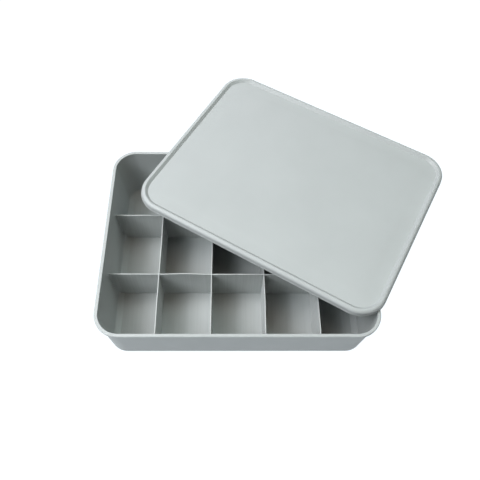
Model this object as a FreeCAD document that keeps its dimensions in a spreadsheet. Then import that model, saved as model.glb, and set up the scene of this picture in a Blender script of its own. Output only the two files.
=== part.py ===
import FreeCAD, Part
import math
import os
import Sketcher

# A shallow moulded plastic tray with a loose lid, divided by interlocking sheets.
#
# Frame: the origin is the centre of the tray's flat underside, +Z is up,
# +X runs along the tray's long side and -Y is the tray's front.
#
# tray               one moulding: tapered walls, rounded foot, rolled rim bead
# row_divider_*      two long sheets along X, slotted from above
# column_divider_*   four short sheets along Y, slotted from below, dropped over the rows
# lid                one moulding: recessed panel, raised border, skirt that drops over the rim
#
# At rest the lid lies across the open tray, turned and slid back, on three points of the rim.

SIZES = {
    # tray
    "tray_length": 330.0,
    "tray_depth": 261.5,
    "tray_height": 82.0,
    "tray_corner": 29.8,
    "draft_angle": 3.4,
    "wall_thickness": 1.6,
    "floor_thickness": 2.0,
    "floor_round": 10.0,
    "rim_width": 4.0,
    "rim_height": 4.5,
    "rim_round": 1.2,
    "mouth_round": 0.5,
    # dividers
    "sheet_thickness": 1.2,
    "divider_top": 60.0,
    "divider_lift": 0.2,
    "end_gap": 0.6,
    "slot_play": 0.2,
    "column_pitch": 64.8,
    "row_pitch": 85.0,
    "slot_overlap": 0.3,
    # lid
    "lid_margin": 3.3,
    "lid_corner": 34.0,
    "lid_height": 8.1,
    "skirt_thickness": 1.5,
    "lip_width": 0.8,
    "lip_height": 1.3,
    "lip_round": 0.4,
    "shoulder_round": 2.7,
    "border_width": 6.2,
    "recess_depth": 2.6,
    "recess_slope": 47.0,
    "recess_round": 0.5,
    "panel_underside": 3.9,
    "channel_inset": 7.7,
    "channel_top": 5.6,
    # how the lid lies
    "lid_shift_x": 76.2,
    "lid_shift_y": 81.6,
    "lid_turn": -30.1,
    "rest_gap": 0.4,
}

COLUMNS = 4
ROWS = ("front", "back")

# How close two heights or two outlines must be to count as the same one when edges are picked.
HEIGHT_MATCH = 0.01
OUTLINE_MATCH = 0.1

# How far a cut runs past the edge of the sheet it opens.
OVERRUN = 1.0

doc = FreeCAD.newDocument("divided_tray")
sheet = doc.addObject("Spreadsheet::Sheet", "Sizes")
for row, (name, size) in enumerate(SIZES.items(), start=1):
    sheet.set(f"A{row}", name)
    sheet.set(f"B{row}", str(size))
    sheet.setAlias(f"B{row}", name)
doc.recompute()

# Inward lean of the tray's walls from the rim down to the height in the brackets.
LEAN = "tan(Sizes.draft_angle) * (Sizes.tray_height - {})"


def new_body(label):
    """A body whose label is also the name of the piece."""
    body = doc.addObject("PartDesign::Body", label)
    body.Label = label
    return body


def new_sketch(body, name, plane, height=None):
    """A sketch on one of the body's own origin planes, raised by a bound height."""
    sketch = body.newObject("Sketcher::SketchObject", name)
    support = next(item for item in body.Origin.OriginFeatures if item.Role == plane)
    sketch.AttachmentSupport = [(support, "")]
    sketch.MapMode = "FlatFace"
    if height:
        sketch.setExpression("AttachmentOffset.Base.z", height)
    return sketch


def bind(sketch, kind, elements, name, expression):
    """Add a dimension to a sketch and tie it to the sheet."""
    value = float(sketch.evalExpression(expression))
    if kind == "Angle":
        value = math.radians(value)
    index = sketch.addConstraint(Sketcher.Constraint(kind, *elements, value))
    sketch.renameConstraint(index, name)
    sketch.setExpression(f"Constraints.{name}", expression)


def rounded_rectangle(sketch, prefix, length, depth, radius):
    """Draw a rectangle with rounded corners, centred on the sketch's origin."""
    half_x = float(sketch.evalExpression(length)) / 2
    half_y = float(sketch.evalExpression(depth)) / 2
    corner = float(sketch.evalExpression(radius))
    first = sketch.GeometryCount
    # each side runs anticlockwise and is followed by the corner after it
    signs = ((1, -1), (1, 1), (-1, 1), (-1, -1))
    for side, (sign_x, sign_y) in enumerate(signs):
        centre = FreeCAD.Vector(sign_x * (half_x - corner), sign_y * (half_y - corner), 0)
        start_angle = math.radians(90 * side - 90)
        end_angle = math.radians(90 * side)
        corner_circle = Part.Circle(centre, FreeCAD.Vector(0, 0, 1), corner)
        arc = Part.ArcOfCircle(corner_circle, start_angle, end_angle)
        before_x, before_y = signs[side - 1]
        before = FreeCAD.Vector(before_x * (half_x - corner), before_y * (half_y - corner), 0)
        outward = FreeCAD.Vector(math.cos(start_angle), math.sin(start_angle), 0) * corner
        sketch.addGeometry(Part.LineSegment(before + outward, centre + outward))
        sketch.addGeometry(arc)
    for side in range(4):
        line = first + 2 * side
        arc = line + 1
        next_line = first + (2 * side + 2) % 8
        direction = "Horizontal" if side % 2 == 0 else "Vertical"
        sketch.addConstraint(Sketcher.Constraint("Tangent", line, 2, arc, 1))
        sketch.addConstraint(Sketcher.Constraint("Tangent", arc, 2, next_line, 1))
        sketch.addConstraint(Sketcher.Constraint(direction, line))
    for arc in (first + 3, first + 5, first + 7):
        sketch.addConstraint(Sketcher.Constraint("Equal", first + 1, arc))
    sketch.addConstraint(Sketcher.Constraint("Symmetric", first, 1, first + 4, 1, -1, 1))
    bind(sketch, "Radius", (first + 1,), f"{prefix}_corner", radius)
    bind(sketch, "DistanceX", (first + 6, 1, first + 2, 1), f"{prefix}_length", length)
    bind(sketch, "DistanceY", (first, 1, first + 4, 1), f"{prefix}_depth", depth)


def outline(body, name, inset, corner, size="tray", height=None):
    """A rounded-rectangle sketch, inset from the tray's or the lid's full outline."""
    sketch = new_sketch(body, name, "XY_Plane", height)
    extra = " + 2 * Sizes.lid_margin" if size == "lid" else ""
    length = f"Sizes.tray_length{extra} - 2 * ({inset})"
    depth = f"Sizes.tray_depth{extra} - 2 * ({inset})"
    rounded_rectangle(sketch, "outer", length, depth, f"{corner} - ({inset})")
    return sketch


def extrude(body, kind, sketch, name, length, taper=None, reverse=False):
    """A Pad or a Pocket of a sketch, with its length and taper bound to the sheet."""
    feature = body.newObject(f"PartDesign::{kind}", name)
    feature.Profile = sketch
    feature.Reversed = reverse
    feature.setExpression("Length", length)
    if taper:
        feature.setExpression("TaperAngle", taper)
    sketch.Visibility = False
    doc.recompute()
    return feature


def round_edges(body, base, name, radius, wanted):
    """A fillet on every edge of the base feature that the test picks out."""
    edges = [f"Edge{n}" for n, edge in enumerate(base.Shape.Edges, start=1) if wanted(edge)]
    fillet = body.newObject("PartDesign::Fillet", name)
    fillet.Base = (base, edges)
    fillet.setExpression("Radius", radius)
    doc.recompute()
    return fillet


def lies_at(edge, height):
    """True where the whole edge lies at one height."""
    box = edge.BoundBox
    return abs(box.ZMin - height) < HEIGHT_MATCH and abs(box.ZMax - height) < HEIGHT_MATCH


def inset_of(edge, margin=0.0):
    """How far inside the tray's outline, grown by a margin, the middle of an edge lies."""
    middle = edge.valueAt((edge.FirstParameter + edge.LastParameter) / 2)
    corner = SIZES["lid_corner"] if margin else SIZES["tray_corner"]
    past_x = abs(middle.x) - (SIZES["tray_length"] / 2 + margin - corner)
    past_y = abs(middle.y) - (SIZES["tray_depth"] / 2 + margin - corner)
    outside = math.hypot(max(past_x, 0), max(past_y, 0))
    return corner - outside - min(max(past_x, past_y), 0)


def make_tray():
    """The tray: a drafted block with a rolled rim, hollowed out from above."""
    body = new_body("tray")
    top = SIZES["tray_height"]
    lean_inset = "Sizes.rim_width - Sizes.wall_thickness"

    walls = outline(body, "wall_outline", lean_inset, "Sizes.tray_corner",
                    height="Sizes.tray_height")
    extrude(body, "Pad", walls, "wall_block", "Sizes.tray_height",
            taper="-Sizes.draft_angle", reverse=True)

    rim = outline(body, "rim_outline", "0", "Sizes.tray_corner", height="Sizes.tray_height")
    extrude(body, "Pad", rim, "rim_block", "Sizes.rim_height", reverse=True)

    mouth = outline(body, "mouth_outline", "Sizes.rim_width", "Sizes.tray_corner",
                    height="Sizes.tray_height")
    hollow = extrude(body, "Pocket", mouth, "hollow",
                     "Sizes.tray_height - Sizes.floor_thickness", taper="-Sizes.draft_angle")
    floor = round_edges(body, hollow, "floor_round", "Sizes.floor_round",
                        lambda edge: lies_at(edge, SIZES["floor_thickness"]))
    foot = round_edges(body, floor, "foot_round", "Sizes.floor_round + Sizes.wall_thickness",
                       lambda edge: lies_at(edge, 0))

    under = top - SIZES["rim_height"]
    bead = round_edges(body, foot, "rim_round", "Sizes.rim_round",
                       lambda edge: (lies_at(edge, top) or lies_at(edge, under))
                       and inset_of(edge) < OUTLINE_MATCH)
    mouth_line = SIZES["rim_width"] - OUTLINE_MATCH
    body.Tip = round_edges(body, bead, "mouth_round", "Sizes.mouth_round",
                           lambda edge: lies_at(edge, top) and inset_of(edge) > mouth_line)
    return body


def divider_outline(body, name, plane, side):
    """The outline of a sheet that follows the tray's leaning walls and rounded floor."""
    sketch = new_sketch(body, name, plane)
    span = f"Sizes.tray_{side} - 2 * Sizes.rim_width - 2 * Sizes.end_gap"
    base = "Sizes.floor_thickness + Sizes.divider_lift"
    top_span = f"{span} - 2 * {LEAN.format('Sizes.divider_top')}"
    base_span = f"{span} - 2 * {LEAN.format(base)}"
    low = float(sketch.evalExpression(base))
    high = SIZES["divider_top"]
    half_top = float(sketch.evalExpression(top_span)) / 2
    half_base = float(sketch.evalExpression(base_span)) / 2
    radius = SIZES["floor_round"]
    slope = math.radians(90 - SIZES["draft_angle"])
    # the corner's arc is tangent to the floor line and to the leaning end
    centre_x = half_base - radius * math.tan(slope / 2)
    turn = math.pi / 2 - slope

    def point(x, z):
        return FreeCAD.Vector(x, z, 0)

    foot_x = centre_x + radius * math.cos(-turn)
    foot_z = low + radius + radius * math.sin(-turn)
    right = Part.Circle(point(centre_x, low + radius), FreeCAD.Vector(0, 0, 1), radius)
    left = Part.Circle(point(-centre_x, low + radius), FreeCAD.Vector(0, 0, 1), radius)
    sketch.addGeometry(Part.LineSegment(point(-centre_x, low), point(centre_x, low)))
    sketch.addGeometry(Part.ArcOfCircle(right, -math.pi / 2, -turn))
    sketch.addGeometry(Part.LineSegment(point(foot_x, foot_z), point(half_top, high)))
    sketch.addGeometry(Part.LineSegment(point(half_top, high), point(-half_top, high)))
    sketch.addGeometry(Part.LineSegment(point(-half_top, high), point(-foot_x, foot_z)))
    sketch.addGeometry(Part.ArcOfCircle(left, math.pi + turn, math.pi * 3 / 2))
    for before, after in ((0, 1), (1, 2), (4, 5), (5, 0)):
        sketch.addConstraint(Sketcher.Constraint("Tangent", before, 2, after, 1))
    for before, after in ((2, 3), (3, 4)):
        sketch.addConstraint(Sketcher.Constraint("Coincident", before, 2, after, 1))
    sketch.addConstraint(Sketcher.Constraint("Equal", 1, 5))
    sketch.addConstraint(Sketcher.Constraint("Symmetric", 0, 1, 0, 2, -2))
    sketch.addConstraint(Sketcher.Constraint("Symmetric", 3, 1, 3, 2, -2))
    bind(sketch, "Radius", (1,), "corner", "Sizes.floor_round")
    bind(sketch, "DistanceY", (-1, 1, 0, 1), "base", base)
    bind(sketch, "DistanceY", (-1, 1, 3, 1), "top", "Sizes.divider_top")
    bind(sketch, "DistanceX", (3, 2, 3, 1), "top_width", top_span)
    bind(sketch, "Angle", (2,), "slope", "90 - Sizes.draft_angle")
    return sketch


def slot_outline(body, plane, centre, low, high):
    """A narrow upright rectangle, one sheet wide plus play, that starts a row of slots."""
    sketch = new_sketch(body, "slot_outline", plane)
    middle = float(sketch.evalExpression(centre))
    bottom = float(sketch.evalExpression(low))
    top = float(sketch.evalExpression(high))
    half = SIZES["sheet_thickness"] / 2 + SIZES["slot_play"]
    corners = ((middle - half, bottom), (middle + half, bottom),
               (middle + half, top), (middle - half, top))
    points = [FreeCAD.Vector(x, z, 0) for x, z in corners]
    for index, start in enumerate(points):
        sketch.addGeometry(Part.LineSegment(start, points[(index + 1) % 4]))
    for index in range(4):
        sketch.addConstraint(Sketcher.Constraint("Coincident", index, 2, (index + 1) % 4, 1))
    for index, direction in ((0, "Horizontal"), (1, "Vertical"),
                             (2, "Horizontal"), (3, "Vertical")):
        sketch.addConstraint(Sketcher.Constraint(direction, index))
    width = "Sizes.sheet_thickness + 2 * Sizes.slot_play"
    bind(sketch, "DistanceX", (0, 1, 0, 2), "width", width)
    bind(sketch, "DistanceX", (0, 1, -1, 1), "reach", f"-({centre}) + ({width}) / 2")
    bind(sketch, "DistanceY", (-1, 1, 0, 1), "low", low)
    bind(sketch, "DistanceY", (-1, 1, 2, 1), "high", high)
    return sketch


def make_divider(label, plane, side, pitch, count, from_above):
    """One slotted sheet; its slots are half its height, from above or from below."""
    body = new_body(label)
    profile = divider_outline(body, "sheet_outline", plane, side)
    panel = extrude(body, "Pad", profile, "sheet", "Sizes.sheet_thickness")
    panel.SideType = "Symmetric"

    base = "(Sizes.floor_thickness + Sizes.divider_lift)"
    middle = f"({base} + Sizes.divider_top) / 2"
    first = f"-Sizes.{pitch} * {(count - 1) / 2}"
    if from_above:
        low, high = f"{middle} - Sizes.slot_overlap / 2", f"Sizes.divider_top + {OVERRUN}"
    else:
        low, high = f"{base} - {OVERRUN}", f"{middle} + Sizes.slot_overlap / 2"
    slot_sketch = slot_outline(body, plane, first, low, high)
    slot = extrude(body, "Pocket", slot_sketch, "slot",
                   f"Sizes.sheet_thickness + 2 * {OVERRUN}")
    slot.SideType = "Symmetric"
    doc.recompute()

    slots = body.newObject("PartDesign::LinearPattern", "slots")
    slots.Originals = [slot]
    slots.Direction = (slot_sketch, ["H_Axis"])
    slots.Occurrences = count
    slots.setExpression("Length", f"Sizes.{pitch} * {count - 1}")
    body.Tip = slots
    doc.recompute()
    return body


def make_lid():
    """The lid: a slab with a sunk panel on top, and a skirt and a rim channel underneath."""
    body = new_body("lid")
    skirt_inset = "Sizes.skirt_thickness"

    lip = outline(body, "lip_outline", "0", "Sizes.lid_corner", size="lid")
    lip_block = extrude(body, "Pad", lip, "lip", "Sizes.lip_height")
    round_edges(body, lip_block, "lip_round", "Sizes.lip_round",
                lambda edge: lies_at(edge, SIZES["lip_height"]) or lies_at(edge, 0))
    slab = outline(body, "slab_outline", "Sizes.lip_width", "Sizes.lid_corner", size="lid")
    slab_block = extrude(body, "Pad", slab, "slab", "Sizes.lid_height")
    round_edges(body, slab_block, "shoulder_round", "Sizes.shoulder_round",
                lambda edge: lies_at(edge, SIZES["lid_height"]))

    border = outline(body, "border_outline", "Sizes.border_width", "Sizes.lid_corner",
                     size="lid", height="Sizes.lid_height")
    recess = extrude(body, "Pocket", border, "recess", "Sizes.recess_depth",
                     taper="-Sizes.recess_slope")
    panel_top = SIZES["lid_height"] - SIZES["recess_depth"]
    border_line = SIZES["border_width"] - OUTLINE_MATCH
    round_edges(body, recess, "recess_round", "Sizes.recess_round",
                lambda edge: lies_at(edge, panel_top)
                or (lies_at(edge, SIZES["lid_height"])
                    and inset_of(edge, SIZES["lid_margin"]) > border_line))

    hollow = outline(body, "hollow_outline", skirt_inset, "Sizes.lid_corner", size="lid")
    extrude(body, "Pocket", hollow, "hollow", "Sizes.panel_underside", reverse=True)
    channel = outline(body, "channel_outline", skirt_inset, "Sizes.lid_corner", size="lid")
    extra = "Sizes.tray_{} + 2 * Sizes.lid_margin - 2 * Sizes.channel_inset"
    rounded_rectangle(channel, "inner", extra.format("length"), extra.format("depth"),
                      "Sizes.lid_corner - Sizes.channel_inset")
    body.Tip = extrude(body, "Pocket", channel, "channel", "Sizes.channel_top", reverse=True)
    return body


def lid_placement():
    """Lay the lid, turned, on the three points where it meets the rim's crest."""
    half_x = SIZES["tray_length"] / 2 - SIZES["rim_width"] / 2
    half_y = SIZES["tray_depth"] / 2 - SIZES["rim_width"] / 2
    skirt = SIZES["lid_margin"] - SIZES["skirt_thickness"] / 2
    lid_x = SIZES["tray_length"] / 2 + skirt
    turn = math.radians(SIZES["lid_turn"])
    centre = FreeCAD.Vector(SIZES["lid_shift_x"], SIZES["lid_shift_y"], 0)
    along = FreeCAD.Vector(math.cos(turn), math.sin(turn), 0)
    across = FreeCAD.Vector(-math.sin(turn), math.cos(turn), 0)
    # the left skirt crosses the back rim and the right skirt crosses the right rim
    left = centre - along * lid_x
    back_touch = left + across * ((half_y - left.y) / across.y)
    right = centre + along * lid_x
    right_touch = right + across * ((half_x - right.x) / across.x)
    # the panel comes down on the rim's back right corner, the point furthest from that line
    edge = (right_touch - back_touch).normalize()
    downhill = FreeCAD.Vector(-edge.y, edge.x, 0)
    corner = SIZES["tray_corner"]
    corner_centre = FreeCAD.Vector(SIZES["tray_length"] / 2 - corner,
                                   SIZES["tray_depth"] / 2 - corner, 0)
    corner_touch = corner_centre + downhill * (corner - SIZES["rim_width"] / 2)
    fall = SIZES["panel_underside"] / (corner_touch - back_touch).dot(downhill)
    sink = (centre - back_touch).dot(downhill) * fall
    height = SIZES["tray_height"] + SIZES["rest_gap"] - sink
    tilt = FreeCAD.Rotation(edge, -math.degrees(math.atan(fall)))
    spin = FreeCAD.Rotation(FreeCAD.Vector(0, 0, 1), SIZES["lid_turn"])
    return FreeCAD.Placement(FreeCAD.Vector(centre.x, centre.y, height), tilt * spin)


pieces = [make_tray()]

for index, place in enumerate(ROWS):
    divider = make_divider(f"row_divider_{place}", "XZ_Plane", "length",
                           "column_pitch", COLUMNS, from_above=True)
    offset = f"Sizes.row_pitch * {index - (len(ROWS) - 1) / 2}"
    divider.setExpression("Placement.Base.y", offset)
    pieces.append(divider)

for index in range(COLUMNS):
    divider = make_divider(f"column_divider_{index + 1}", "YZ_Plane", "depth",
                           "row_pitch", len(ROWS), from_above=False)
    offset = f"Sizes.column_pitch * {index - (COLUMNS - 1) / 2}"
    divider.setExpression("Placement.Base.x", offset)
    pieces.append(divider)

lid = make_lid()
lid.Placement = lid_placement()
pieces.append(lid)

doc.recompute()
for item in doc.Objects:
    if "Invalid" in item.State or "Error" in item.State:
        raise RuntimeError(f"{item.Label} failed: {item.State}")
os.makedirs("parts", exist_ok=True)
for piece in pieces:
    shape = piece.Shape
    if shape.isNull() or not shape.isValid() or len(shape.Solids) != 1:
        raise RuntimeError(f"{piece.Label} is not one valid solid")
    shape.exportStep(f"parts/{piece.Label}.step")
    box = shape.BoundBox
    print(f"{piece.Label}: {shape.Volume / 1000:.1f} cm3,"
          f" x {box.XMin:.1f} to {box.XMax:.1f}, y {box.YMin:.1f} to {box.YMax:.1f},"
          f" z {box.ZMin:.2f} to {box.ZMax:.2f}")
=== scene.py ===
import math

import bmesh
import bpy
from mathutils import Matrix, Vector


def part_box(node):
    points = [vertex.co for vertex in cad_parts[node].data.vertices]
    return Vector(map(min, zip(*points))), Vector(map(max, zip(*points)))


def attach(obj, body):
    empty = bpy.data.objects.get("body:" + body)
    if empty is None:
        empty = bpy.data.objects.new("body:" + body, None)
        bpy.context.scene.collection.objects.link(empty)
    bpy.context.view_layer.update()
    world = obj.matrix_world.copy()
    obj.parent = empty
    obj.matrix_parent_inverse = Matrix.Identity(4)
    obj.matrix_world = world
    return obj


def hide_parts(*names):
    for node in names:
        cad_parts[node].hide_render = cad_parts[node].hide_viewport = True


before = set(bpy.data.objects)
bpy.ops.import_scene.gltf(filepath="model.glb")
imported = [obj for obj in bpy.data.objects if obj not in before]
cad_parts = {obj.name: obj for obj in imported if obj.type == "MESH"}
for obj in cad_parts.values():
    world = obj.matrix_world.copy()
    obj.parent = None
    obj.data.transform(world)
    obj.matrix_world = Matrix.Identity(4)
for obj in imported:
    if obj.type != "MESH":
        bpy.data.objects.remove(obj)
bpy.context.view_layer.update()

# A shallow moulded tray with interlocking divider sheets and a loose lid lying turned across it.
# Every visible piece is a new mesh that stands for one CAD node, in metres, in the CAD frame.
# The outer sizes are read from the CAD nodes' boxes, and the others repeat the CAD model's. The
# foot of the tray's inner wall, the lid's skirt, border and panel, and the sheets, which bow a
# little between their slots, leave the CAD's shapes by up to about 1 mm.

MM = 0.001

tray_low, tray_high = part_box("tray")
TRAY_X = (tray_high.x - tray_low.x) / 2
TRAY_Y = (tray_high.y - tray_low.y) / 2
TRAY_Z = tray_high.z
TRAY_CORNER = 29.8 * MM
LEAN = math.radians(3.4)            # how far the tray's walls lean from upright
DRAFT = math.tan(LEAN)
WALL = 1.6 * MM
FLOOR = 2.0 * MM
FLOOR_ROUND = 10 * MM
RIM_WIDTH = 4.0 * MM
RIM_HEIGHT = 4.5 * MM
RIM_ROUND = 1.2 * MM
MOUTH_ROUND = 0.5 * MM
CAP_INSET = 23 * MM                 # where a moulding's rings end and its level middle begins

SHEET = 1.2 * MM
SLOT_WIDTH = 1.6 * MM
SLOT_OVERLAP = 0.3 * MM

LID_MARGIN = 3.3 * MM
LID_CORNER = 34 * MM
LID_HEIGHT = 8.1 * MM
LID_SHIFT = Vector((76.2, 81.6, 0.0)) * MM
LID_TURN = math.radians(-30.1)
LID_SKIRT = 1.5 * MM
PANEL_UNDER = 3.9 * MM
PANEL_TOP = 5.5 * MM
REST_GAP = 0.4 * MM


# ---------------------------------------------------------------- meshes

SUPPORT = 0.25 * MM         # how far from a round its support points stand, at most
SUPPORT_SHARE = 0.3         # and the same as a share of the round's setback


def rounded_profile(corners, segments):
    """A profile of (inset, z) points from sharp corners (inset, z, radius). Each corner is rounded
    and has a support point before and after it, so that smooth shading keeps the flats flat."""
    points = [Vector(corners[0][:2])]
    for before, here, after in zip(corners, corners[1:], corners[2:]):
        corner = Vector(here[:2])
        radius = here[2]
        to_before = (Vector(before[:2]) - corner).normalized()
        to_after = (Vector(after[:2]) - corner).normalized()
        half_angle = to_before.angle(to_after) / 2
        setback = radius / math.tan(half_angle)
        centre = corner + (to_before + to_after).normalized() * (radius / math.sin(half_angle))
        start = corner + to_before * setback
        end = corner + to_after * setback
        support = min(SUPPORT, setback * SUPPORT_SHARE)
        points.append(start + to_before * support)
        to_start, to_end = start - centre, end - centre
        sweep = to_start.angle(to_end)
        for step in range(segments + 1):
            share = step / segments
            ray = to_start * math.sin((1 - share) * sweep) + to_end * math.sin(share * sweep)
            points.append(centre + ray / math.sin(sweep))
        points.append(end + to_after * support)
    points.append(Vector(corners[-1][:2]))
    return [(p.x, p.y) for p in points]


def ring(half_x, half_y, corner, arc, run_x, run_y):
    """Points of a rounded rectangle, anticlockwise from the middle of the front left corner. Each
    corner has arc steps, and the sides have run_x or run_y steps between the corners."""
    arcs = []
    # the four corners in order, each with its centre's signs and the angle it starts at
    for sign_x, sign_y, start in ((-1, -1, 180), (1, -1, 270), (1, 1, 0), (-1, 1, 90)):
        centre = Vector((sign_x * (half_x - corner), sign_y * (half_y - corner)))
        angles = [math.radians(start + 90 * step / arc) for step in range(arc + 1)]
        arcs.append([centre + Vector((math.cos(angle), math.sin(angle))) * corner
                     for angle in angles])
    outline = []
    for arc_points, following, run in zip(arcs, arcs[1:] + arcs[:1], (run_x, run_y) * 2):
        outline.extend(arc_points)
        last, first = arc_points[-1], following[0]
        outline.extend(last.lerp(first, step / run) for step in range(1, run))
    half_arc = arc // 2
    return outline[half_arc:] + outline[:half_arc]


def cap_grid(mesh, loop, count_x, count_y, lift, flip):
    """Fill a closed loop of vertices with a grid of quads, by blending its four sides. lift is how
    far the middle of the cap rises above its edge."""
    front = loop[:count_x + 1]
    right = loop[count_x:count_x + count_y + 1]
    back = loop[count_x + count_y:2 * count_x + count_y + 1][::-1]
    left = (loop[2 * count_x + count_y:] + loop[:1])[::-1]
    grid = [[None] * (count_y + 1) for _ in range(count_x + 1)]
    for i in range(count_x + 1):
        grid[i][0], grid[i][count_y] = front[i], back[i]
    for j in range(count_y + 1):
        grid[0][j], grid[count_x][j] = left[j], right[j]
    for i in range(1, count_x):
        for j in range(1, count_y):
            u, v = i / count_x, j / count_y
            along = front[i].co * (1 - v) + back[i].co * v
            across = left[j].co * (1 - u) + right[j].co * u
            corners = (front[0].co * (1 - u) * (1 - v) + front[-1].co * u * (1 - v)
                       + back[0].co * (1 - u) * v + back[-1].co * u * v)
            place = along + across - corners
            place.z += lift * 16 * u * (1 - u) * v * (1 - v)
            grid[i][j] = mesh.verts.new(place)
    for i in range(count_x):
        for j in range(count_y):
            quad = [grid[i][j], grid[i + 1][j], grid[i + 1][j + 1], grid[i][j + 1]]
            mesh.faces.new(quad[::-1] if flip else quad)


# steps round each corner of a moulding, and along its long and its short sides
ARC, RUN_X, RUN_Y = 16, 24, 18


def moulding(name, half_x, half_y, corner, profile, crown=0.0):
    """A closed moulded shell: rounded rectangles along a profile, with its two ends capped.
    The profile starts under the middle and ends on top of it. crown lifts the middles."""
    mesh = bmesh.new()
    loops = []
    for inset, z in profile:
        outline = ring(half_x - inset, half_y - inset, corner - inset, ARC, RUN_X, RUN_Y)
        loops.append([mesh.verts.new((point.x, point.y, z)) for point in outline])
    total = len(loops[0])
    for lower, upper in zip(loops, loops[1:]):
        for index in range(total):
            after = (index + 1) % total
            mesh.faces.new((lower[index], lower[after], upper[after], upper[index]))
    cap_grid(mesh, loops[0], ARC + RUN_X, ARC + RUN_Y, crown, flip=True)
    cap_grid(mesh, loops[-1], ARC + RUN_X, ARC + RUN_Y, crown, flip=False)
    return finish_mesh(name, mesh)


SAME_PLACE = 1e-7           # vertices nearer to each other than this, in metres, are one


def finish_mesh(name, mesh):
    """Turn a bmesh into a smooth-shaded object with its normals outwards."""
    bmesh.ops.remove_doubles(mesh, verts=mesh.verts, dist=SAME_PLACE)
    bmesh.ops.recalc_face_normals(mesh, faces=mesh.faces)
    data = bpy.data.meshes.new(name)
    mesh.to_mesh(data)
    mesh.free()
    for face in data.polygons:
        face.use_smooth = True
    piece = bpy.data.objects.new(name, data)
    bpy.context.scene.collection.objects.link(piece)
    return piece


END_SHARES = (0.2, 0.4, 0.6, 0.8, 1.0)      # grid columns from the last slot to the sheet's end
BAY_STEPS = 12                              # grid columns between two slots
FOOT_ANGLES = (12, 24, 36, 48, 60, 72, 84)  # grid rows up the round foot, in degrees
ROWS_BELOW, ROWS_ABOVE = 6, 9               # grid rows below and above the slots' blind end
FOOT_SWAY = 0.35                            # how much of its bow a sheet keeps at its foot
EDGE_ROUND = 0.28 * MM
EDGE_SEGMENTS = 3
EDGE_ANGLE = math.radians(50)               # only edges sharper than this are rounded


def slotted_sheet(name, low, high, reach, slots, from_above, bows):
    """A thin slotted sheet in the XZ plane, centred on Y = 0. reach(z) gives the half length at a
    height. bows are how far it bows sideways, in millimetres, in each bay between its slots."""
    middle = (low + high) / 2
    slot_end = middle - SLOT_OVERLAP / 2 if from_above else middle + SLOT_OVERLAP / 2
    half_slot = SLOT_WIDTH / 2
    # where the grid's columns stand: at an x, or at a share of the way from a slot to an end
    stations = [("end", -share) for share in reversed(END_SHARES)]
    open_spans = set()
    bays = []
    left_edge = None
    for slot_at in slots:
        if left_edge is not None:
            span = slot_at - half_slot - left_edge
            stations += [("x", left_edge + span * step / BAY_STEPS)
                         for step in range(1, BAY_STEPS)]
            bays.append((left_edge, slot_at - half_slot))
        stations.append(("x", slot_at - half_slot))
        open_spans.add(len(stations) - 1)
        stations.append(("x", slot_at + half_slot))
        left_edge = slot_at + half_slot
    stations += [("end", share) for share in END_SHARES]
    first_slot, last_slot = slots[0] - half_slot, slots[-1] + half_slot

    levels = [low]
    levels += [low + FLOOR_ROUND * (1 - math.cos(math.radians(angle))) for angle in FOOT_ANGLES]
    for start, end, count in ((levels[-1], slot_end, ROWS_BELOW), (slot_end, high, ROWS_ABOVE)):
        levels += [start + (end - start) * step / count for step in range(1, count + 1)]

    bays = [(-reach(low), first_slot)] + bays + [(last_slot, reach(low))]

    def sway(x, z):
        rise = (z - low) / (high - low)
        fullness = FOOT_SWAY + (1 - FOOT_SWAY) * rise
        for (left, right), bow in zip(bays, bows):
            if left < x < right:
                share = (x - left) / (right - left)
                return bow * MM * math.sin(math.pi * share) ** 2 * fullness
        return 0.0

    def place(station, z, side):
        kind, value = station
        if kind == "x":
            x = value
        elif value < 0:
            x = first_slot + (reach(z) + first_slot) * value
        else:
            x = last_slot + (reach(z) - last_slot) * value
        return Vector((x, sway(x, z) + side * SHEET / 2, z))

    mesh = bmesh.new()
    grids = {}
    for side in (-1, 1):
        grids[side] = [[mesh.verts.new(place(station, z, side)) for z in levels]
                       for station in stations]
    filled = set()
    for i in range(len(stations) - 1):
        for j in range(len(levels) - 1):
            centre = (levels[j] + levels[j + 1]) / 2
            is_open = i in open_spans and (centre > slot_end) == from_above
            if not is_open:
                filled.add((i, j))
    for i, j in filled:
        for side, grid in grids.items():
            quad = (grid[i][j], grid[i + 1][j], grid[i + 1][j + 1], grid[i][j + 1])
            mesh.faces.new(quad if side < 0 else quad[::-1])
        # close each side of the cell that has no neighbour
        for di, dj, a, b in ((-1, 0, (i, j), (i, j + 1)), (1, 0, (i + 1, j), (i + 1, j + 1)),
                             (0, -1, (i, j), (i + 1, j)), (0, 1, (i, j + 1), (i + 1, j + 1))):
            if (i + di, j + dj) not in filled:
                mesh.faces.new((grids[-1][a[0]][a[1]], grids[-1][b[0]][b[1]],
                                grids[1][b[0]][b[1]], grids[1][a[0]][a[1]]))
    loose = [vert for vert in mesh.verts if not vert.link_faces]
    bmesh.ops.delete(mesh, geom=loose, context="VERTS")
    piece = finish_mesh(name, mesh)
    bevel = piece.modifiers.new("edge_round", "BEVEL")
    bevel.width = EDGE_ROUND
    bevel.segments = EDGE_SEGMENTS
    bevel.limit_method = "ANGLE"
    bevel.angle_limit = EDGE_ANGLE
    bevel.harden_normals = True
    return piece


# ---------------------------------------------------------------- materials

def node(tree, kind, **settings):
    """A shader node with its properties and input values set by name."""
    made = tree.nodes.new(kind)
    for name, value in settings.items():
        if name in made.inputs:
            made.inputs[name].default_value = value
        else:
            setattr(made, name, value)
    return made


def spread(tree, value, heard, told):
    """Map a value from one (low, high) range to another, and give the mapped socket."""
    made = tree.nodes.new("ShaderNodeMapRange")
    for label, number in zip(("From Min", "From Max", "To Min", "To Max"), heard + told):
        made.inputs[label].default_value = number
    tree.links.new(value, made.inputs["Value"])
    return made.outputs["Result"]


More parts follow.
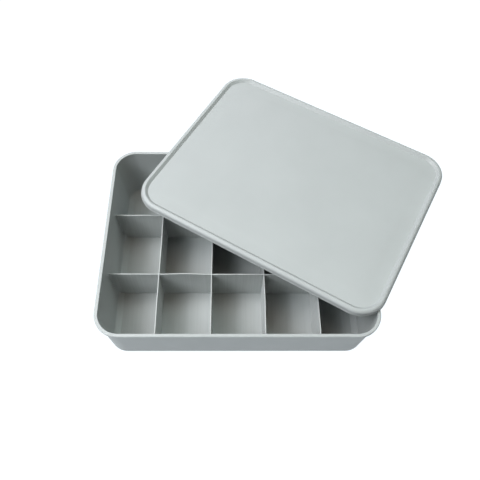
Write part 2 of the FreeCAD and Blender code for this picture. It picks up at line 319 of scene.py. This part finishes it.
NOISE_RANGE = (0.3, 0.7)            # what most of a noise texture's values lie between
CLOUD_TONES = (0.975, 1.02)
LEVEL_RANGE = (0.6, 0.95)           # a normal's z, from too steep for streaks to level
EDGE_RANGE = (0.52, 0.62)           # pointiness, from flat to a worn edge
WORN_PALER = 1.12
WORN_SMOOTHER = -0.12
ROUGHNESS = 0.5
ROUGHNESS_SPREAD = 0.05


def plastic(name, base, stretch, streak, level_only=False):
    """Matte moulded polypropylene: even colour with faint clouds, fine grain, flow streaks that
    run along the short side of stretch, slightly paler and smoother worn edges. With level_only
    the streaks show on level faces, such as a tray's floor, and not on its walls."""
    material = bpy.data.materials.new(name)
    material.use_nodes = True
    tree = material.node_tree
    link = tree.links.new
    shader = tree.nodes["Principled BSDF"]
    where = node(tree, "ShaderNodeTexCoord")

    clouds = node(tree, "ShaderNodeTexNoise", Scale=14.0, Detail=3.0, Roughness=0.55)
    link(where.outputs["Object"], clouds.inputs["Vector"])
    cloud_tone = spread(tree, clouds.outputs["Fac"], NOISE_RANGE, CLOUD_TONES)

    along = node(tree, "ShaderNodeMapping", Scale=stretch)
    link(where.outputs["Object"], along.inputs["Vector"])
    streaks = node(tree, "ShaderNodeTexNoise", Scale=1.0, Detail=2.0, Roughness=0.5)
    link(along.outputs["Vector"], streaks.inputs["Vector"])
    streak_height = streaks.outputs["Fac"]
    if level_only:
        facing = node(tree, "ShaderNodeSeparateXYZ")
        link(where.outputs["Normal"], facing.inputs["Vector"])
        masked = node(tree, "ShaderNodeMix", A=0.5)
        link(spread(tree, facing.outputs["Z"], LEVEL_RANGE, (0.0, 1.0)), masked.inputs["Factor"])
        link(streak_height, masked.inputs["B"])
        streak_height = masked.outputs["Result"]
    streak_tone = spread(tree, streak_height, NOISE_RANGE, (1 - streak, 1 + streak))

    tone = node(tree, "ShaderNodeMath", operation="MULTIPLY")
    link(cloud_tone, tone.inputs[0])
    link(streak_tone, tone.inputs[1])
    tinted = node(tree, "ShaderNodeVectorMath", operation="SCALE")
    tinted.inputs[0].default_value = base
    link(tone.outputs["Value"], tinted.inputs["Scale"])

    # paler, slightly polished edges
    shape = node(tree, "ShaderNodeNewGeometry")
    edge = spread(tree, shape.outputs["Pointiness"], EDGE_RANGE, (0.0, 1.0))
    rubbed = node(tree, "ShaderNodeTexNoise", Scale=160.0, Detail=4.0, Roughness=0.6)
    link(where.outputs["Object"], rubbed.inputs["Vector"])
    wear = node(tree, "ShaderNodeMath", operation="MULTIPLY")
    link(edge, wear.inputs[0])
    link(rubbed.outputs["Fac"], wear.inputs[1])
    worn = node(tree, "ShaderNodeMix", data_type="RGBA")
    worn.inputs["B"].default_value = tuple(min(1.0, c * WORN_PALER) for c in base) + (1.0,)
    link(wear.outputs["Value"], worn.inputs["Factor"])
    link(tinted.outputs["Vector"], worn.inputs["A"])
    link(worn.outputs["Result"], shader.inputs["Base Color"])

    # roughness: clouds of handling marks, smoother on the worn edges
    marks = node(tree, "ShaderNodeTexNoise", Scale=38.0, Detail=5.0, Roughness=0.65)
    link(where.outputs["Object"], marks.inputs["Vector"])
    rough = spread(tree, marks.outputs["Fac"], NOISE_RANGE,
                   (ROUGHNESS - ROUGHNESS_SPREAD, ROUGHNESS + ROUGHNESS_SPREAD))
    smoother = node(tree, "ShaderNodeMath", operation="MULTIPLY_ADD")
    smoother.inputs[1].default_value = WORN_SMOOTHER
    link(wear.outputs["Value"], smoother.inputs[0])
    link(rough, smoother.inputs[2])
    link(smoother.outputs["Value"], shader.inputs["Roughness"])

    # spark-eroded mould grain, and the streaks over it
    grain = node(tree, "ShaderNodeTexNoise", Scale=2600.0, Detail=2.0, Roughness=0.6)
    link(where.outputs["Object"], grain.inputs["Vector"])
    grain_bump = node(tree, "ShaderNodeBump", Strength=0.35, Distance=0.06 * MM)
    link(grain.outputs["Fac"], grain_bump.inputs["Height"])
    streak_bump = node(tree, "ShaderNodeBump", Strength=0.25, Distance=0.12 * MM)
    link(streak_height, streak_bump.inputs["Height"])
    link(grain_bump.outputs["Normal"], streak_bump.inputs["Normal"])
    link(streak_bump.outputs["Normal"], shader.inputs["Normal"])
    return material


MOULDED = (0.376, 0.396, 0.393)
SHEET_STOCK = (0.430, 0.448, 0.442)
tray_plastic = plastic("tray_plastic", MOULDED, (420.0, 7.0, 7.0), 0.03, level_only=True)
lid_plastic = plastic("lid_plastic", MOULDED, (9.0, 9.0, 9.0), 0.006)
row_plastic = plastic("row_plastic", SHEET_STOCK, (640.0, 5.0, 5.0), 0.06)
column_plastic = plastic("column_plastic", SHEET_STOCK, (5.0, 640.0, 5.0), 0.06)


# ---------------------------------------------------------------- the pieces

def hand_over(piece, body, cad_node, material):
    """Give a piece its material, hang it on its body's empty and hide the CAD node it stands for.
    """
    piece.data.materials.append(material)
    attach(piece, body)
    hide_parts(cad_node)


# tray: inset of the outer wall's and the inner wall's faces at a height
def outer_inset(z):
    return RIM_WIDTH - WALL + DRAFT * (TRAY_Z - z)


def inner_inset(z):
    return RIM_WIDTH + DRAFT * (TRAY_Z - z)


RIM_UNDER = TRAY_Z - RIM_HEIGHT
RIM_ROOT_ROUND = 0.5 * MM
# the inner wall meets the floor by a small round and a shallow ramp, close to the CAD's one round
RAMP_TOP = 5.0 * MM
RAMP_TOP_ROUND = 4.5 * MM
RAMP_INSET = 17.0 * MM
RAMP_FOOT_ROUND = 1.0 * MM
tray_profile = rounded_profile([
    (CAP_INSET, 0.0, 0.0),
    (outer_inset(0.0), 0.0, FLOOR_ROUND + WALL),
    (outer_inset(RIM_UNDER), RIM_UNDER, RIM_ROOT_ROUND),
    (0.0, RIM_UNDER, RIM_ROUND),
    (0.0, TRAY_Z, RIM_ROUND),
    (RIM_WIDTH, TRAY_Z, MOUTH_ROUND),
    (inner_inset(RAMP_TOP), RAMP_TOP, RAMP_TOP_ROUND),
    (RAMP_INSET, FLOOR, RAMP_FOOT_ROUND),
    (CAP_INSET, FLOOR, 0.0),
], segments=10)
tray = moulding("tray_moulding", TRAY_X, TRAY_Y, TRAY_CORNER, tray_profile)
hand_over(tray, "tray", "tray", tray_plastic)


# dividers
def sheet_reach(half_top, low, high):
    """The half length of a sheet at a height: a leaning end that rounds into the flat foot."""
    half_foot = half_top - DRAFT * (high - low)
    centre = half_foot - FLOOR_ROUND * math.tan((math.pi / 2 - LEAN) / 2)
    tangent = low + FLOOR_ROUND * (1 - math.sin(LEAN))

    def reach(z):
        if z >= tangent:
            return half_top - DRAFT * (high - z)
        drop = low + FLOOR_ROUND - z
        return centre + math.sqrt(max(FLOOR_ROUND ** 2 - drop ** 2, 0.0))
    return reach


columns = sorted(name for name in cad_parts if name.startswith("column_divider"))
rows = ("row_divider_front", "row_divider_back")
column_at = [(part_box(name)[0].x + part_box(name)[1].x) / 2 for name in columns]
row_at = [(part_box(name)[0].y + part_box(name)[1].y) / 2 for name in rows]

# how far, in millimetres, each loose sheet bows sideways in each bay between its slots
ROW_BOWS = ((0.1, 0.8, 0.1, -0.2, 0.1), (0.3, 0.1, -0.2, 0.1, -0.1))
COLUMN_BOWS = ((0.2, -0.2, 0.1), (-0.1, -0.3, 0.2), (-0.5, 0.1, 0.2), (-0.2, 0.2, 0.1))

for name, place_y, bows in zip(rows, row_at, ROW_BOWS):
    low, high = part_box(name)
    piece = slotted_sheet(name + "_sheet", low.z, high.z, sheet_reach(high.x, low.z, high.z),
                          slots=column_at, from_above=True, bows=bows)
    piece.data.transform(Matrix.Translation((0, place_y, 0)))
    hand_over(piece, name.replace("_divider", ""), name, row_plastic)

QUARTER_TURN = Matrix.Rotation(math.pi / 2, 4, "Z")
for name, place_x, bows in zip(columns, column_at, COLUMN_BOWS):
    low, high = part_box(name)
    piece = slotted_sheet(name + "_sheet", low.z, high.z, sheet_reach(high.y, low.z, high.z),
                          slots=row_at, from_above=False, bows=bows)
    piece.data.transform(Matrix.Translation((place_x, 0, 0)) @ QUARTER_TURN)
    hand_over(piece, name.replace("_divider", ""), name, column_plastic)


# lid, lying on two points of its skirt and one point of its panel
def lid_matrix():
    """Where the turned and tilted lid lies on the rim, worked out as the CAD model does."""
    half_x = TRAY_X - RIM_WIDTH / 2
    half_y = TRAY_Y - RIM_WIDTH / 2
    reach = TRAY_X + LID_MARGIN - LID_SKIRT / 2
    along = Vector((math.cos(LID_TURN), math.sin(LID_TURN), 0))
    across = Vector((-along.y, along.x, 0))
    left = LID_SHIFT - along * reach
    back_touch = left + across * ((half_y - left.y) / across.y)
    right = LID_SHIFT + along * reach
    right_touch = right + across * ((half_x - right.x) / across.x)
    edge = (right_touch - back_touch).normalized()
    downhill = Vector((-edge.y, edge.x, 0))
    corner_centre = Vector((TRAY_X - TRAY_CORNER, TRAY_Y - TRAY_CORNER, 0))
    corner_touch = corner_centre + downhill * (TRAY_CORNER - RIM_WIDTH / 2)
    fall = PANEL_UNDER / (corner_touch - back_touch).dot(downhill)
    sink = (LID_SHIFT - back_touch).dot(downhill) * fall
    height = TRAY_Z + REST_GAP - sink
    tilt = Matrix.Rotation(-math.atan(fall), 4, edge)
    spin = Matrix.Rotation(LID_TURN, 4, "Z")
    return Matrix.Translation((LID_SHIFT.x, LID_SHIFT.y, height)) @ tilt @ spin


PANEL_CROWN = 0.7 * MM                  # how far the panel rises from its edge to its middle
PANEL_EDGE = PANEL_TOP - PANEL_CROWN
RECESS_LEAN = math.radians(46)          # from upright, the slope between border and panel
SLOPE_RUN = (LID_HEIGHT - PANEL_EDGE) * math.tan(RECESS_LEAN)
SHOULDER = 4.0 * MM
SHOULDER_INSET = 1.0 * MM               # the skirt leans in a little from its lip to its shoulder
BORDER = 5.8 * MM
BORDER_ROUND = 0.5 * MM
CHANNEL_INSET = 7.7 * MM                # the hollow channel under the border
CHANNEL_TOP = 5.6 * MM
CHANNEL_ROUND = 0.3 * MM
SKIRT_ROOT_ROUND = 0.5 * MM
SKIRT_FOOT_ROUND = 0.25 * MM
LIP_HEIGHT = 1.3 * MM                   # a thin lip that runs round the skirt's foot
LIP_STEP = 0.4 * MM
LIP_ROUND = 0.4 * MM
LIP_ROOT_ROUND = 0.15 * MM
lid_profile = rounded_profile([
    (CAP_INSET, PANEL_UNDER, 0.0),
    (CHANNEL_INSET, PANEL_UNDER, CHANNEL_ROUND),
    (CHANNEL_INSET, CHANNEL_TOP, CHANNEL_ROUND),
    (LID_SKIRT, CHANNEL_TOP, SKIRT_ROOT_ROUND),
    (LID_SKIRT, 0.0, SKIRT_FOOT_ROUND),
    (0.0, 0.0, LIP_ROUND),
    (0.0, LIP_HEIGHT, LIP_ROUND),
    (LIP_STEP, LIP_HEIGHT, LIP_ROOT_ROUND),
    (SHOULDER_INSET, LID_HEIGHT, SHOULDER),
    (BORDER, LID_HEIGHT, BORDER_ROUND),
    (BORDER + SLOPE_RUN, PANEL_EDGE, BORDER_ROUND),
    (CAP_INSET, PANEL_EDGE, 0.0),
], segments=6)
lid = moulding("lid_moulding", TRAY_X + LID_MARGIN, TRAY_Y + LID_MARGIN, LID_CORNER,
               lid_profile, crown=PANEL_CROWN)
lid.data.transform(lid_matrix())
hand_over(lid, "lid", "lid", lid_plastic)


# ---------------------------------------------------------------- stage, light and camera

def seen_directly(tree, socket, seen, given):
    """Set a strength to one value where it is looked at and to another as light it gives off."""
    path = node(tree, "ShaderNodeLightPath")
    strength = spread(tree, path.outputs["Is Camera Ray"], (0.0, 1.0), (given, seen))
    tree.links.new(strength, socket)


FLOOR_HALF = 6.0                        # half the floor's length, in metres
FLOOR_DROP = 0.2 * MM                   # how far the floor lies under the tray's underside
FLOOR_TONE = (0.03, 0.03, 0.03, 1.0)
FLOOR_TINT = (0.94, 1.0, 1.05, 1.0)
FLOOR_SEEN, FLOOR_GLOW = 1.06, 0.91
BACKDROP_SEEN, BACKDROP_GLOW = 1.0, 0.0


def make_floor():
    """A very large pale floor just under the tray."""
    data = bpy.data.meshes.new("floor")
    corners = [(x * FLOOR_HALF, y * FLOOR_HALF, 0) for x, y in ((-1, -1), (1, -1), (1, 1), (-1, 1))]
    data.from_pydata(corners, [], [(0, 1, 2, 3)])
    floor = bpy.data.objects.new("floor", data)
    bpy.context.scene.collection.objects.link(floor)
    floor.location.z = -FLOOR_DROP
    material = bpy.data.materials.new("floor_white")
    material.use_nodes = True
    shader = material.node_tree.nodes["Principled BSDF"]
    shader.inputs["Base Color"].default_value = FLOOR_TONE
    shader.inputs["Roughness"].default_value = 0.9
    shader.inputs["Specular IOR Level"].default_value = 0.1
    shader.inputs["Emission Color"].default_value = FLOOR_TINT
    strength = shader.inputs["Emission Strength"]
    seen_directly(material.node_tree, strength, FLOOR_SEEN, FLOOR_GLOW)
    data.materials.append(material)


AIM = Vector((0.03, 0.03, 0.05))        # the point that every softbox faces


def softbox(name, elevation, azimuth, size, power, colour, distance=2.0):
    """A square softbox aimed at the tray. Azimuth is measured from +X towards +Y, so 180 is from
    the left and 270 from the front."""
    data = bpy.data.lights.new(name, "AREA")
    data.shape = "SQUARE"
    data.size = size
    data.energy = power
    data.color = colour
    light = bpy.data.objects.new(name, data)
    bpy.context.scene.collection.objects.link(light)
    up_angle, side_angle = math.radians(elevation), math.radians(azimuth)
    towards = Vector((math.cos(up_angle) * math.cos(side_angle),
                      math.cos(up_angle) * math.sin(side_angle),
                      math.sin(up_angle)))
    light.location = AIM + distance * towards
    light.rotation_euler = (-towards).to_track_quat("-Z", "Y").to_euler()


make_floor()
softbox("key", 50, 180, 0.8, 25.5, (0.97, 0.96, 1.0))
softbox("key_top", 65, 160, 0.8, 11.5, (0.96, 1.0, 1.0))
softbox("front_left", 45, 215, 0.6, 8.5, (0.92, 0.98, 1.0), distance=1.2)
softbox("back_right", 60, 45, 1.2, 12.3, (0.8, 0.98, 0.98))
softbox("back_low", 30, 90, 1.2, 8, (0.95, 0.9, 1.0))
softbox("overhead", 90, 0, 1.2, 4.5, (1.0, 0.8, 0.64))
softbox("right_fill", 45, 0, 1.2, 2.2, (1.0, 0.9, 0.6))

world = bpy.data.worlds.new("studio")
bpy.context.scene.world = world
world.use_nodes = True
backdrop = world.node_tree.nodes["Background"]
backdrop.inputs["Color"].default_value = (1, 1, 1, 1)
seen_directly(world.node_tree, backdrop.inputs["Strength"], BACKDROP_SEEN, BACKDROP_GLOW)

# Camera: looks down at the tray from the front, a little left of its middle.
CAMERA_PLACE = Vector((-14.957, -321.061, 645.747)) * MM
CAMERA_DOWN = math.radians(60.767)
CAMERA_TURN = math.radians(-3.192)
CAMERA_ROLL = math.radians(3.089)
FOCAL = 522.63 / 480                  # focal length over the picture's width

forward = Vector((0, math.cos(CAMERA_DOWN), -math.sin(CAMERA_DOWN)))
right = Vector((1, 0, 0))
up = right.cross(forward)
swing = Matrix.Rotation(CAMERA_TURN, 3, "Z")
forward, right, up = swing @ forward, swing @ right, swing @ up
rolled_right = math.cos(CAMERA_ROLL) * right + math.sin(CAMERA_ROLL) * up
rolled_up = -math.sin(CAMERA_ROLL) * right + math.cos(CAMERA_ROLL) * up
axes = Matrix((rolled_right, rolled_up, -forward)).transposed().to_4x4()

camera_data = bpy.data.cameras.new("camera")
camera_data.sensor_width = 36.0
camera_data.lens = FOCAL * camera_data.sensor_width
camera_data.clip_start = 0.01
camera = bpy.data.objects.new("camera", camera_data)
bpy.context.scene.collection.objects.link(camera)
camera.matrix_world = Matrix.Translation(CAMERA_PLACE) @ axes
bpy.context.scene.camera = camera

bpy.context.scene.view_settings.view_transform = "Standard"
bpy.context.scene.view_settings.look = "None"

bpy.context.view_layer.update()
